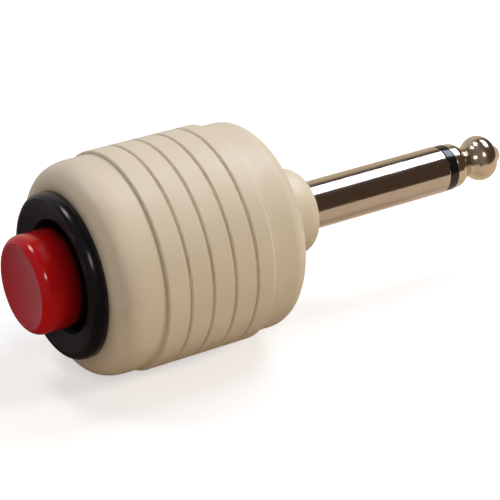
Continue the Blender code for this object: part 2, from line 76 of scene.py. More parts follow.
CAMERA_DISTANCE = 0.270
CAMERA_TARGET = (-10.42 * MM, -4.12 * MM, -1.46 * MM)
CAMERA_AZIMUTH = radians(-32.57)
CAMERA_ELEVATION = radians(27.03)
CAMERA_LENS = 153.6
SENSOR_WIDTH = 36.0
NEAR_CLIP = 0.01

BUTTON_PLACE = (-38 * MM, 0.0, 0.0)
PLUG_PLACE = (5 * MM, 0.0, 0.0)
KEY_PLACE = (0.345, 0.07, 0.5)
BELOW_KEY = (0.345, 0.07, 0.0)
TOP_PLACE = (-0.18, 0.22, 0.49)
FRONT_PLACE = (-0.16, -0.42, 0.34)
SIDE_PLACE = (0.40, -0.30, 0.24)

KEY_COLOUR = (0.89, 0.965, 1.20)
TOP_COLOUR = (1.0, 0.97, 0.93)
FRONT_COLOUR = (1.0, 0.91, 0.78)
SIDE_COLOUR = (1.0, 0.91, 0.76)

DARK_ROOM = (0.080, 0.052, 0.037)
WARM_WALL = (0.64, 0.55, 0.42)
COOL_WALL = (0.46, 0.45, 0.52)
# Where each part of the room begins and is complete, in the X, Y or Z of a direction from the object.
FAR_WALL_Y = (0.54, 0.74)
BUTTON_SIDE_X = (0.2, -0.5)
BUTTON_SIDE_SHARE = 0.3
UPPER_ROOM_Z = (-0.35, -0.1)
COOL_WALL_X = (0.3, -0.1)

# Flat sheets under the object: lowest and highest X, then lowest and highest Y.
FLOOR = (-1.5, 1.5, -1.5, 1.5)
BOUNCE_CARD = (-0.16, 0.16, -0.07, 0.25)
PLUG_CARD = (0.0, 0.16, -0.07, 0.25)
BUTTON_CARD = (-0.053, -0.015, 0.014, 0.07)
BACKDROP_RADIUS = 1.45
BACKDROP_HEIGHT = 1.5
BACKDROP_SEGMENTS = 64


def add_object(name, data):
    """A new object in the scene, with its own camera, light or mesh data."""
    obj = bpy.data.objects.new(name, data)
    bpy.context.scene.collection.objects.link(obj)
    return obj


def camera():
    """The photograph's viewpoint: in front of the object, above it and towards the button's end."""
    data = bpy.data.cameras.new("camera")
    data.lens = CAMERA_LENS
    data.sensor_width = SENSOR_WIDTH
    data.clip_start = NEAR_CLIP
    level = cos(CAMERA_ELEVATION)
    back = Vector((sin(CAMERA_AZIMUTH) * level, -cos(CAMERA_AZIMUTH) * level, sin(CAMERA_ELEVATION)))
    obj = add_object("camera", data)
    obj.location = Vector(CAMERA_TARGET) + back * CAMERA_DISTANCE
    obj.rotation_euler = back.to_track_quat("Z", "Y").to_euler()
    bpy.context.scene.camera = obj


def softbox(name, position, target, size, power, colour):
    """A rectangular lamp of size (width, height) that faces its target."""
    data = bpy.data.lights.new(name, "AREA")
    data.shape = "RECTANGLE"
    data.size, data.size_y = size
    data.energy = power
    data.color = colour
    obj = add_object(name, data)
    obj.location = position
    away = Vector(position) - Vector(target)
    obj.rotation_euler = away.to_track_quat("Z", "Y").to_euler()
    return obj


def studio_light():
    """Softboxes: high beyond the plug, high behind the button, in front, and one beside the plug that isn't
    seen as a reflection."""
    softbox("key_softbox", KEY_PLACE, BELOW_KEY, size=(0.25, 0.37), power=2.05, colour=KEY_COLOUR)
    softbox("top_softbox", TOP_PLACE, BUTTON_PLACE, size=(0.15, 0.15), power=0.8, colour=TOP_COLOUR)
    softbox("front_softbox", FRONT_PLACE, BUTTON_PLACE, size=(0.10, 0.10), power=0.5, colour=FRONT_COLOUR)
    side = softbox("side_softbox", SIDE_PLACE, PLUG_PLACE, size=(0.12, 0.12), power=1.55, colour=SIDE_COLOUR)
    side.visible_glossy = False


def room_light():
    """A dark warm room with a light wall behind the object, cooler towards the button. The button's side of
    the room is dimly lit too, and everything well below the object is dark."""
    world = bpy.data.worlds.new("room")
    bpy.context.scene.world = world
    world.use_nodes = True
    tree = world.node_tree
    coordinates = tree.nodes.new("ShaderNodeTexCoord")
    split = tree.nodes.new("ShaderNodeSeparateXYZ")
    tree.links.new(coordinates.outputs["Generated"], split.inputs[0])
    behind = between(tree, split.outputs["Y"], *FAR_WALL_Y)
    beside = between(tree, split.outputs["X"], *BUTTON_SIDE_X, 0.0, BUTTON_SIDE_SHARE)
    above = between(tree, split.outputs["Z"], *UPPER_ROOM_Z)
    wall = blend(tree, between(tree, split.outputs["X"], *COOL_WALL_X), WARM_WALL, COOL_WALL)
    lit = maths(tree, "MULTIPLY", maths(tree, "MAXIMUM", behind, beside), above)
    feed(tree, tree.nodes["Background"].inputs["Color"], blend(tree, lit, DARK_ROOM, wall))


def only_for_camera(obj):
    """The object lights and shades nothing and isn't reflected."""
    obj.visible_diffuse = False
    obj.visible_glossy = False
    obj.visible_transmission = False
    obj.visible_shadow = False


def darker(colour, share):
    return tuple(share * part for part in colour)


def pale(name, shade, glow):
    """A plain pale grey that glows a little, so that shadows on it stay light."""
    grey = (shade, shade, shade)
    material = surface(name, grey, darker(grey, 0.97), roughness=(0.6, 0.7), blotch=8.0)
    shader = material.node_tree.nodes["Principled BSDF"]
    shader.inputs["Emission Color"].default_value = (1.0, 1.0, 1.0, 1.0)
    shader.inputs["Emission Strength"].default_value = glow
    return material


def card_paper(name, colour, tint):
    return surface(name, colour, tint, roughness=(0.7, 0.8), blotch=12.0)


def backdrop():
    """A round pale wall far behind the object, whichever side it is seen from."""
    low = cad_box[0][2]
    verts = []
    for z in (low, low + BACKDROP_HEIGHT):
        for k in range(BACKDROP_SEGMENTS):
            angle = 2 * pi * k / BACKDROP_SEGMENTS
            verts.append((BACKDROP_RADIUS * cos(angle), BACKDROP_RADIUS * sin(angle), z))
    faces = []
    for k in range(BACKDROP_SEGMENTS):
        after = (k + 1) % BACKDROP_SEGMENTS
        faces.append((k, after, BACKDROP_SEGMENTS + after, BACKDROP_SEGMENTS + k))
    mesh = bpy.data.meshes.new("backdrop")
    mesh.from_pydata(verts, [], faces)
    mesh.materials.append(pale("pale_wall", shade=0.5, glow=0.75))
    obj = add_object("backdrop", mesh)
    only_for_camera(obj)


def sheet(name, material, extent, drop=0.0):
    """A flat staged sheet at the height of the object's lowest point, or this drop below it."""
    x_low, x_high, y_low, y_high = extent
    z = cad_box[0][2] - drop
    verts = [(x_low, y_low, z), (x_high, y_low, z), (x_high, y_high, z), (x_low, y_high, z)]
    mesh = bpy.data.meshes.new(name)
    mesh.from_pydata(verts, [], [(0, 1, 2, 3)])
    mesh.materials.append(material)
    obj = add_object(name, mesh)
    return obj


def floor():
    """A plain pale floor for the camera. Of the three cards under it, one bounces warm light up on to the
    object, and two are there only as reflections in the plug and in the button."""
    only_for_camera(sheet("floor", pale("pale_floor", shade=0.62, glow=0.56), FLOOR))
    tan = card_paper("tan_card", (0.68, 0.575, 0.455), (0.65, 0.55, 0.43))
    bounce = sheet("bounce_card", tan, BOUNCE_CARD, drop=2 * GAP)
    bounce.visible_camera = False
    bounce.visible_glossy = False
    grey = card_paper("grey_card", (0.54, 0.46, 0.49), (0.50, 0.43, 0.46))
    for name, paper, extent in (("plug_card", tan, PLUG_CARD), ("button_card", grey, BUTTON_CARD)):
        mirrored = sheet(name, paper, extent, drop=GAP)
        mirrored.visible_camera = False
        mirrored.visible_diffuse = False


# ---------------------------------------------------------------- shader nodes

MIX_FIRST = 6  # a Mix node's sockets for colours, which share their names with others
MIX_SECOND = 7
MIX_RESULT = 2


def feed(tree, socket, value):
    """Links a socket to another, or sets it to a value."""
    if isinstance(value, bpy.types.NodeSocket):
        tree.links.new(value, socket)
    elif hasattr(socket.default_value, "__len__") and len(socket.default_value) == 4:
        socket.default_value = (*value, 1.0)
    else:
        socket.default_value = value


def noise(tree, scale, detail=3.0, stretch=(1.0, 1.0, 1.0)):
    """Noise from 0 to 1, with scale cells to the metre, in the part's own coordinates."""
    coordinates = tree.nodes.new("ShaderNodeTexCoord")
    mapping = tree.nodes.new("ShaderNodeMapping")
    mapping.inputs["Scale"].default_value = stretch
    texture = tree.nodes.new("ShaderNodeTexNoise")
    texture.inputs["Scale"].default_value = scale
    texture.inputs["Detail"].default_value = detail
    tree.links.new(coordinates.outputs["Object"], mapping.inputs["Vector"])
    tree.links.new(mapping.outputs[0], texture.inputs["Vector"])
    return texture.outputs["Fac"]


def between(tree, value, low, high, to_low=0.0, to_high=1.0):
    """Maps low..high to to_low..to_high and holds the ends."""
    remap = tree.nodes.new("ShaderNodeMapRange")
    for name, number in (("From Min", low), ("From Max", high), ("To Min", to_low), ("To Max", to_high)):
        remap.inputs[name].default_value = number
    tree.links.new(value, remap.inputs["Value"])
    return remap.outputs[0]


def maths(tree, operation, first, second):
    """What an operation makes of two values or sockets, held between 0 and 1."""
    made = tree.nodes.new("ShaderNodeMath")
    made.operation = operation
    made.use_clamp = True
    feed(tree, made.inputs[0], first)
    feed(tree, made.inputs[1], second)
    return made.outputs[0]


def blend(tree, share, first, second):
    """Colour first where share is 0 and colour second where it is 1."""
    mix = tree.nodes.new("ShaderNodeMix")
    mix.data_type = "RGBA"
    feed(tree, mix.inputs["Factor"], share)
    feed(tree, mix.inputs[MIX_FIRST], first)
    feed(tree, mix.inputs[MIX_SECOND], second)
    return mix.outputs[MIX_RESULT]


def attribute(tree, name):
    """A value that turned() wrote on a mesh. Where there is none, as on a CAD node, it reads 0."""
    reader = tree.nodes.new("ShaderNodeAttribute")
    reader.attribute_name = name
    return reader.outputs["Fac"]


def bump(tree, height, distance, below=None):
    made = tree.nodes.new("ShaderNodeBump")
    made.inputs["Distance"].default_value = distance
    tree.links.new(height, made.inputs["Height"])
    if below:
        tree.links.new(below, made.inputs["Normal"])
    return made.outputs[0]


def source(shader, name):
    """What is linked to a shader's input."""
    return shader.inputs[name].links[0].from_socket


# ---------------------------------------------------------------- materials

# Sizes of noise, in cells to the metre.
# noise for the edge colour (wear and painted highlight) and the inner-corner colour (grime and painted
# shade)
WEAR_AND_HIGHLIGHT_CELLS = 900.0
GRIME_AND_SHADE_CELLS = 500.0
SMEAR_CELLS = 260.0
SCRATCH_CELLS = 3200.0
# The values over which each mask of the materials goes from 0 to 1.
OUTER_EDGE = (0.15, 0.9)
INNER_EDGE = (-0.05, -0.8)
SHARP_CORNER = (0.53, 0.62)
# patches of the edge colour (wear and painted highlight) and of the inner-corner colour (grime and painted
# shade)
WEAR_AND_HIGHLIGHT_PATCH = (0.42, 0.62)
GRIME_AND_SHADE_PATCH = (0.3, 0.6)
TINTED_PATCH = (0.35, 0.65)
DULL_PATCH = (0.2, 0.8)
SMEARED_PATCH = (0.3, 0.7)
SCRATCH = (0.62, 0.75)
TOUCHED = (0.0, 1.0)
# painted shade on the cap's side, deepest at the gap in the bezel
PAINTED_SHADE_RANGE = (0.0, -1.0)


def edges(tree):
    """1 on the outer edges of a turned piece or of a CAD node, broken up by noise."""
    fillets = between(tree, attribute(tree, "edge"), *OUTER_EDGE)
    geometry = tree.nodes.new("ShaderNodeNewGeometry")
    corners = between(tree, geometry.outputs["Pointiness"], *SHARP_CORNER)
    outer = maths(tree, "MAXIMUM", fillets, corners)
    return maths(tree, "MULTIPLY", outer, between(tree, noise(tree, WEAR_AND_HIGHLIGHT_CELLS), *WEAR_AND_HIGHLIGHT_PATCH))


def hollows(tree):
    """1 in the inner corners of a turned piece, broken up by noise."""
    fillets = between(tree, attribute(tree, "edge"), *INNER_EDGE)
    return maths(tree, "MULTIPLY", fillets, between(tree, noise(tree, GRIME_AND_SHADE_CELLS), *GRIME_AND_SHADE_PATCH))


def surface(
    name,
    colour,
    tint,
    roughness,
    metallic=0.0,
    blotch=90.0,
    grain=1800.0,
    depth=0.004 * MM,
    wear_and_highlight=None,
    grime_and_shade=None,
    stretch=(1.0, 1.0, 1.0),
):
    """A material whose colour drifts from colour to tint, with grain, edges in a colour for wear and painted
    highlight, and inner corners in a colour for grime and painted shade.
    """
    material = bpy.data.materials.new(name)
    material.use_nodes = True
    tree = material.node_tree
    shader = tree.nodes["Principled BSDF"]
    shader.inputs["Metallic"].default_value = metallic
    drift = between(tree, noise(tree, blotch), *TINTED_PATCH)
    fine = noise(tree, grain, 2.0, stretch)
    shade = blend(tree, drift, colour, tint)
    # the edge colour: wear, and on the cream plastic a painted highlight along the rib edges too
    if wear_and_highlight:
        shade = blend(tree, edges(tree), shade, wear_and_highlight)
    # the inner-corner colour: grime, and on the cream plastic painted shade in the grooves too
    if grime_and_shade:
        shade = blend(tree, hollows(tree), shade, grime_and_shade)
    feed(tree, shader.inputs["Base Color"], shade)
    smudges = maths(tree, "ADD", maths(tree, "MULTIPLY", drift, 0.5), maths(tree, "MULTIPLY", fine, 0.5))
    feed(tree, shader.inputs["Roughness"], between(tree, smudges, *DULL_PATCH, *roughness))
    feed(tree, shader.inputs["Normal"], bump(tree, fine, depth))
    return material


def cream_plastic():
    """Satin moulded plastic, off-white, a little lighter along the rib edges from wear and a painted
    highlight, and darker in the grooves from dust and painted shade.
    """
    return surface(
        "cream_plastic",
        colour=(0.745, 0.665, 0.515),
        tint=(0.705, 0.625, 0.475),
        roughness=(0.40, 0.52),
        grain=2600.0,
        depth=0.006 * MM,
        # rib edges: wear and a painted highlight; grooves: dust and painted shade
        wear_and_highlight=(0.76, 0.69, 0.58),
        grime_and_shade=(0.56, 0.47, 0.365),
    )


def red_plastic():
    """Deep red gloss, dulled on the dished face by fingers, and darkened towards the gap in the bezel by
    painted shade and a painted reflection of the black bezel.
    """
    smear_strength = (0.8, 1.0)
    smeared_colour = (0.50, 0.012, 0.022)
    smeared_roughness = 0.22
    # painted shade and painted reflection of the black bezel, on the cap's side by the gap
    painted_shade_colour = (0.012, 0.002, 0.003)
    material = surface(
        "red_plastic",
        colour=(0.66, 0.004, 0.007),
        tint=(0.57, 0.003, 0.006),
        roughness=(0.10, 0.2),
        grain=900.0,
        depth=0.002 * MM,
        wear_and_highlight=(0.74, 0.012, 0.02),
    )
    tree = material.node_tree
    shader = tree.nodes["Principled BSDF"]
    face = between(tree, attribute(tree, "touched_and_shade"), *TOUCHED)
    strength = between(tree, noise(tree, SMEAR_CELLS, 2.0), *SMEARED_PATCH, *smear_strength)
    smears = maths(tree, "MULTIPLY", face, strength)
    # painted shade and painted reflection of the bezel, darkening the cap's side towards the gap
    painted_shade = between(tree, attribute(tree, "touched_and_shade"), *PAINTED_SHADE_RANGE)
    colour = blend(tree, painted_shade, source(shader, "Base Color"), painted_shade_colour)
    colour = blend(tree, smears, colour, smeared_colour)
    rougher = maths(tree, "MULTIPLY", smears, smeared_roughness)
    roughness = maths(tree, "ADD", source(shader, "Roughness"), rougher)
    feed(tree, shader.inputs["Base Color"], colour)
    feed(tree, shader.inputs["Roughness"], roughness)
    return material


def black_plastic():
    """Glossy black flange whose recess has a duller, slightly greyer face."""
    recess_colour = (0.018, 0.018, 0.019)
    recess_roughness = 0.3
    flange_specular = 0.32
    recess_specular = 0.2
    material = surface(
        "black_plastic",
        colour=(0.0055, 0.006, 0.009),
        tint=(0.007, 0.0075, 0.010),
        roughness=(0.18, 0.28),
        grain=2200.0,
        depth=0.003 * MM,
        wear_and_highlight=(0.016, 0.016, 0.019),
        grime_and_shade=(0.014, 0.013, 0.013),
    )
    tree = material.node_tree
    shader = tree.nodes["Principled BSDF"]
    recess = between(tree, attribute(tree, "touched_and_shade"), *TOUCHED)
    colour = blend(tree, recess, source(shader, "Base Color"), recess_colour)
    rougher = maths(tree, "MULTIPLY", recess, recess_roughness)
    roughness = maths(tree, "ADD", source(shader, "Roughness"), rougher)
    specular = between(tree, recess, 0.0, 1.0, flange_specular, recess_specular)
    feed(tree, shader.inputs["Base Color"], colour)
    feed(tree, shader.inputs["Roughness"], roughness)
    feed(tree, shader.inputs["Specular IOR Level"], specular)
    return material


def nickel(name, colour, roughness):
    """Bright nickel plate with turning marks round the axis and fine scratches along it."""
    material = surface(
        name,
        colour=colour,
        tint=darker(colour, 0.94),
        roughness=roughness,
        metallic=1.0,
        blotch=220.0,
        grain=2400.0,
        depth=0.0006 * MM,
        wear_and_highlight=(0.72, 0.66, 0.58),
        grime_and_shade=(0.16, 0.12, 0.09),
        stretch=(1.0, 0.06, 0.06),
    )
    tree = material.node_tree
    shader = tree.nodes["Principled BSDF"]
    turning = source(shader, "Normal")
    scratches = between(tree, noise(tree, SCRATCH_CELLS, stretch=(0.03, 1.0, 1.0)), *SCRATCH)
    scratched = bump(tree, scratches, distance=0.0008 * MM, below=turning)
    feed(tree, shader.inputs["Normal"], scratched)
    return material


def ring_plastic():
    """Black, fairly glossy plastic of the insulating ring near the plug's tip."""
    return surface(
        "ring_plastic",
        colour=(0.004, 0.004, 0.005),
        tint=(0.006, 0.006, 0.007),
        roughness=(0.12, 0.22),
        wear_and_highlight=(0.012, 0.012, 0.012),
    )


# ---------------------------------------------------------------- turned meshes

HANDLE_SEGMENTS = 192
SWITCH_SEGMENTS = 144
PLUG_SEGMENTS = 96
ON_AXIS = 1e-7
EDGE_SCALE = 0.22 * MM  # an outline this tightly rounded counts wholly as an edge
FILLET_STEPS = 6
SIDE_TO_FILLET = 2.05  # a side's length over the most of it that one fillet may take up
FINE_FILLET = 0.1 * MM
SMALL_FILLET = 0.15 * MM
FILLET = 0.2 * MM


def span(node):
    """Where a CAD node starts and ends along the axis, and its largest radius."""
    low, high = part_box(node)
    return low.x, high.x, high.z


def arc(here, back, onward, fillet):
    """The points of a true arc round a corner. back and onward lead from it to the corners beside it."""
    half_angle = back.angle(onward) / 2
    wanted = fillet * cos(half_angle) / sin(half_angle)
    reach = min(wanted, back.length / SIDE_TO_FILLET, onward.length / SIDE_TO_FILLET)
    start = here + back.normalized() * reach
    end = here + onward.normalized() * reach
    pull = sin(half_angle)
    points = []
    for step in range(FILLET_STEPS + 1):
        share = step / FILLET_STEPS
        near, middle, far = (1 - share) ** 2, 2 * pull * share * (1 - share), share**2
        points.append((start * near + here * middle + end * far) / (near + middle + far))
    return points


def rounded(corners):
    """An outline from (x, radius, fillet) corners, each of them an arc of that fillet or, at 0, a point."""
    points = []
    for i, (x, radius, fillet) in enumerate(corners):
        here = Vector((x, radius))
        back = Vector(corners[i - 1][:2]) - here
        onward = Vector(corners[(i + 1) % len(corners)][:2]) - here
        points += arc(here, back, onward, fillet) if fillet else [here]
    return [(point.x, point.y) for point in points]


def quarter(x0, radius0, x1, radius1, steps, power=2.0, leaves="outward"):
    """A quarter of a superellipse, as plain corners. It leaves its start outward or along the axis."""
    points = []
    for i in range(steps + 1):
        angle = pi / 2 * i / steps
        rise = sin(angle) ** (2 / power)
        rest = 1 - cos(angle) ** (2 / power)
        along, across = (rest, rise) if leaves == "outward" else (rise, rest)
        points.append((x0 + (x1 - x0) * along, radius0 + (radius1 - radius0) * across, 0.0))
    return points


def signed_area(outline):
    pairs = zip(outline, outline[1:] + outline[:1])
    return sum(x0 * r1 - x1 * r0 for (x0, r0), (x1, r1) in pairs) / 2


def edge_values(outline):
    """How tightly each point of the outline turns, from 1 on an outer fillet to -1 in an inner one."""
    values = []
    for i, here in enumerate(outline):
        back = Vector(here) - Vector(outline[i - 1])
        onward = Vector(outline[(i + 1) % len(outline)]) - Vector(here)
        if not back.length or not onward.length:
            values.append(0.0)
            continue
        turn = -back.angle_signed(onward)
        tightness = turn / ((back.length + onward.length) / 2)
        values.append(max(-1.0, min(1.0, tightness * EDGE_SCALE)))
    return values


def ring_verts(outline, segments):
    """The vertices of a turned outline, and each of its rings as a list of their indices."""
    verts = []
    rings = []
    for x, radius in outline:
        count = 1 if radius < ON_AXIS else segments
        first = len(verts)
        for k in range(count):
            angle = 2 * pi * k / segments
            verts.append((x, radius * sin(angle), radius * cos(angle)))
        rings.append([first + k % count for k in range(segments)])
    return verts, rings


def ring_faces(rings, segments):
    """Faces from each ring to the next and from the last to the first. A ring may be a single point."""
    faces = []
    for near, far in zip(rings, rings[1:] + rings[:1]):
        for k in range(segments):
            after = (k + 1) % segments
            corners = tuple(dict.fromkeys((near[k], near[after], far[after], far[k])))
            if len(corners) > 2:
                faces.append(corners)
    return faces


def record_rings(mesh, name, values, rings):
    """Writes one value for each ring to a mesh attribute that the materials read."""
    layer = mesh.attributes.new(name, "FLOAT", "POINT")
    for value, members in zip(values, rings):
        for index in set(members):
            layer.data[index].value = value


def turned(name, outline, segments, touched_and_shade=lambda x, radius: 0.0):
    """A closed outline turned about X. touched_and_shade(x, radius) runs from 1, handled, to -1, deepest
    painted shade.
    """
    if signed_area(outline) < 0:
        outline = outline[::-1]
    verts, rings = ring_verts(outline, segments)
    mesh = bpy.data.meshes.new(name)
    mesh.from_pydata(verts, [], ring_faces(rings, segments))
    mesh.shade_smooth()
    record_rings(mesh, "edge", edge_values(outline), rings)
    record_rings(mesh, "touched_and_shade", [float(touched_and_shade(x, radius)) for x, radius in outline], rings)
    obj = add_object(name, mesh)
    normals = obj.modifiers.new("weighted_normals", "WEIGHTED_NORMAL")
    normals.weight = 100
    return obj


def place(obj, material, body, slot, *nodes):
    """Gives a piece its material and its body, and hides the CAD nodes that it stands for."""
    obj.data.materials.append(material)
    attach(obj, body)
    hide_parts(*nodes)


# ---------------------------------------------------------------- handle

DOME_DEPTH = 3.9 * MM
DOME_RISE = 3.1 * MM
DOME_POWER = 2.5
DOME_STEPS = 28
PANEL_THICKNESS = 2.4 * MM
PANEL_HOLE = 8.35 * MM
PANEL_FILLET = 0.5 * MM
SPIGOT_RADIUS = 12.2 * MM
SPIGOT_WALL = 1.15 * MM
SEAM = 0.02 * MM  # between the two shells, which are pressed together
SEAM_FILLET = 0.06 * MM

RIB_COUNT = 5
RIB_PITCH = 3.15 * MM
GROOVE_RADIUS = 13.7 * MM
GROOVE_WIDTH = 0.24 * MM
GROOVE_LEAN = 0.10 * MM
GROOVE_FILLET = 0.08 * MM
RIB_FILLET = 0.14 * MM
FIRST_GROOVE = 0.02 * MM  # from the rear shell's mouth to the middle of the first groove
FIRST_RIB_EASE = 1.5  # how many times as gently the first rib starts as the others

REAR_STEP_X = -12.95 * MM
REAR_STEP_FILLET = 0.35 * MM
REAR_RADIUS = 13.52 * MM
SHOULDER_START_X = -9.6 * MM
SHOULDER_POWER = 2.15
SHOULDER_STEPS = 32
COLLAR_START_X = -5.82 * MM
COLLAR_RADIUS = 5.78 * MM
COLLAR_ROUND_X = -2.5 * MM
COLLAR_END_RADIUS = 4.0 * MM
COLLAR_STEPS = 14
BARREL_BORE = 11.75 * MM
BARREL_FILLET = 2.0 * MM
PLUG_BORE = 3.275 * MM
FLANGE_BORE = 4.4 * MM
FLANGE_SEAT_X = -2.0 * MM
REAR_WALL_X = -9.2 * MM


def front_shell(material):
    """Domed front shell, with the spigot that enters the rear shell."""
    face_x, spigot_x, radius = span("front_housing")
    joint_x = span("rear_housing")[0] - SEAM
    panel_back = face_x + PANEL_THICKNESS
    spigot_bore = SPIGOT_RADIUS - SPIGOT_WALL
    dome_end = face_x + DOME_DEPTH
    corners = [(face_x, PANEL_HOLE, SMALL_FILLET)]
    corners += quarter(face_x, radius - DOME_RISE, dome_end, radius, DOME_STEPS, DOME_POWER)
    corners += [(joint_x, radius, SEAM_FILLET), (joint_x, SPIGOT_RADIUS, FINE_FILLET)]
    corners += [(spigot_x, SPIGOT_RADIUS, FILLET), (spigot_x, spigot_bore, SMALL_FILLET)]
    corners += [(panel_back, spigot_bore, PANEL_FILLET), (panel_back, PANEL_HOLE, SMALL_FILLET)]
    shell = turned("front_shell", rounded(corners), HANDLE_SEGMENTS)
    place(shell, material, "handle", "cream_plastic", "front_housing")


def rib_corners(mouth_x, rib_radius):
    """The ribs' outer side, from the mouth of the rear shell to the step behind the last rib."""
    first_rib_x = mouth_x + FIRST_RIB_EASE * GROOVE_LEAN
    corners = [(mouth_x, GROOVE_RADIUS, 0.0), (first_rib_x, rib_radius, FIRST_RIB_EASE * RIB_FILLET)]
    for i in range(1, RIB_COUNT):
        groove_x = mouth_x + FIRST_GROOVE + i * RIB_PITCH
        start_x = groove_x - GROOVE_WIDTH / 2
        end_x = groove_x + GROOVE_WIDTH / 2
        corners.append((start_x - GROOVE_LEAN, rib_radius, RIB_FILLET))
        corners += [(start_x, GROOVE_RADIUS, GROOVE_FILLET), (end_x, GROOVE_RADIUS, GROOVE_FILLET)]
        corners.append((end_x + GROOVE_LEAN, rib_radius, RIB_FILLET))
    corners.append((REAR_STEP_X, rib_radius, REAR_STEP_FILLET))
    corners.append((REAR_STEP_X + GROOVE_LEAN, REAR_RADIUS, SMALL_FILLET))
    return corners


def shoulder_corners(collar_end):
    """The rounded rear shoulder and the collar, out to the collar's end face."""
    shoulder = quarter(
        SHOULDER_START_X,
        REAR_RADIUS,
        COLLAR_START_X,
        COLLAR_RADIUS,
        SHOULDER_STEPS,
        SHOULDER_POWER,
        leaves="along",
    )
    collar = quarter(
        COLLAR_ROUND_X, COLLAR_RADIUS, collar_end, COLLAR_END_RADIUS, COLLAR_STEPS, leaves="along"
    )
    return shoulder + collar


def rear_shell(material):
    """Ribbed barrel, rounded rear shoulder and the collar that holds the plug."""
    mouth_x, collar_end, rib_radius = span("rear_housing")
    socket = SPIGOT_RADIUS + GAP
    socket_end = span("front_housing")[1] + 2 * GAP
    corners = [(mouth_x, socket, 0.0)] + rib_corners(mouth_x, rib_radius) + shoulder_corners(collar_end)
    corners += [(collar_end, PLUG_BORE, FINE_FILLET), (FLANGE_SEAT_X, PLUG_BORE, 0.0)]
    corners += [(FLANGE_SEAT_X, FLANGE_BORE, 0.0), (REAR_WALL_X, FLANGE_BORE, FILLET)]
    corners += [(REAR_WALL_X, BARREL_BORE, BARREL_FILLET)]
    corners += [(socket_end, BARREL_BORE, FINE_FILLET), (socket_end, socket, 0.0)]
    shell = turned("rear_shell", rounded(corners), HANDLE_SEGMENTS)
    place(shell, material, "handle", "cream_plastic", "rear_housing")


# ---------------------------------------------------------------- switch

BUSH_RADIUS = 8.2 * MM
BUSH_BORE = 7.15 * MM
BEZEL_CREST_RADIUS = 9.8 * MM
BEZEL_CREST_STEPS = 16
BEZEL_MOUTH_DEPTH = 0.75 * MM
BEZEL_MOUTH_RADIUS = 7.3 * MM
BEZEL_BORE_RADIUS = 6.55 * MM
BEZEL_BORE_DEPTH = 1.9 * MM  # from the mouth to where the bore becomes straight
BEZEL_BORE_FILLET = 0.4 * MM
BEZEL_LIP = 0.3 * MM
BEZEL_LIP_DEPTH = 0.05 * MM
BEZEL_LIP_FILLET = 0.25 * MM
RECESS_END = 0.2 * MM  # past the mouth, where the recess's own finish ends
FLANGE_SIDE = 0.5 * MM

CAP_RADIUS = 6.25 * MM
CAP_EDGE_RADIUS = 1.5 * MM
CAP_FACE_RADIUS = 5.45 * MM
CAP_FACE_FILLET = 0.12 * MM
CAP_DISH_DEPTH = 0.45 * MM
CAP_STOP_HEIGHT = 1.0 * MM
CAP_SOCKET_RADIUS = 4.9 * MM
CAP_SOCKET_FILLET = 0.3 * MM
CAP_WALL = 2.0 * MM
CAP_STEPS = 14
CAP_SIDE_STEPS = 6
# the cap's painted shade towards the bezel: how late along the side it sets in
PAINTED_SHADE_POWER = 1.15  # how late along the cap's side the darkening sets in


def bezel(material):
    """Black flange round the button, in one piece with the bush behind it."""
    crest_x, bush_end, radius = span("switch_bezel")
    flange_back = span("front_housing")[0] - GAP
    mouth_x = crest_x + BEZEL_MOUTH_DEPTH
    stop_x = span("button_cap")[1] - CAP_STOP_HEIGHT - GAP
    corners = [(mouth_x + BEZEL_BORE_DEPTH, BEZEL_BORE_RADIUS, BEZEL_BORE_FILLET)]
    corners += [(mouth_x, BEZEL_MOUTH_RADIUS, SMALL_FILLET)]
    corners += [(crest_x + BEZEL_LIP_DEPTH, BEZEL_CREST_RADIUS - BEZEL_LIP, BEZEL_LIP_FILLET)]
    corners += quarter(crest_x, BEZEL_CREST_RADIUS, flange_back - FLANGE_SIDE, radius, BEZEL_CREST_STEPS)
    corners += [(flange_back, radius, FINE_FILLET), (flange_back, BUSH_RADIUS, 0.0)]
    corners += [(bush_end, BUSH_RADIUS, FILLET), (bush_end, BUSH_BORE, FINE_FILLET)]
    corners += [(stop_x, BUSH_BORE, 0.0), (stop_x, BEZEL_BORE_RADIUS, SMALL_FILLET)]

    def recess(x, r):
        return x < mouth_x + RECESS_END and r < BEZEL_CREST_RADIUS - 0.5 * BEZEL_LIP

    obj = turned("bezel", rounded(corners), SWITCH_SEGMENTS, recess)
    place(obj, material, "handle", "black_plastic", "switch_bezel")


def cap_face_corners(front_x):
    """The dished face, from its middle outwards, and the rounded edge round it."""
    corners = []
    for i in range(CAP_STEPS):
        share = i / CAP_STEPS
        corners.append((front_x + CAP_DISH_DEPTH * (1 - share**2), CAP_FACE_RADIUS * share, 0.0))
    corners.append((front_x, CAP_FACE_RADIUS, CAP_FACE_FILLET))
    centre = CAP_RADIUS - CAP_EDGE_RADIUS
    start = asin((CAP_FACE_RADIUS - centre) / CAP_EDGE_RADIUS)
    edge_x = front_x + CAP_EDGE_RADIUS * cos(start)
    for i in range(1, CAP_STEPS + 1):
        angle = start + (pi / 2 - start) * i / CAP_STEPS
        corners.append((edge_x - CAP_EDGE_RADIUS * cos(angle), centre + CAP_EDGE_RADIUS * sin(angle), 0.0))
    return corners


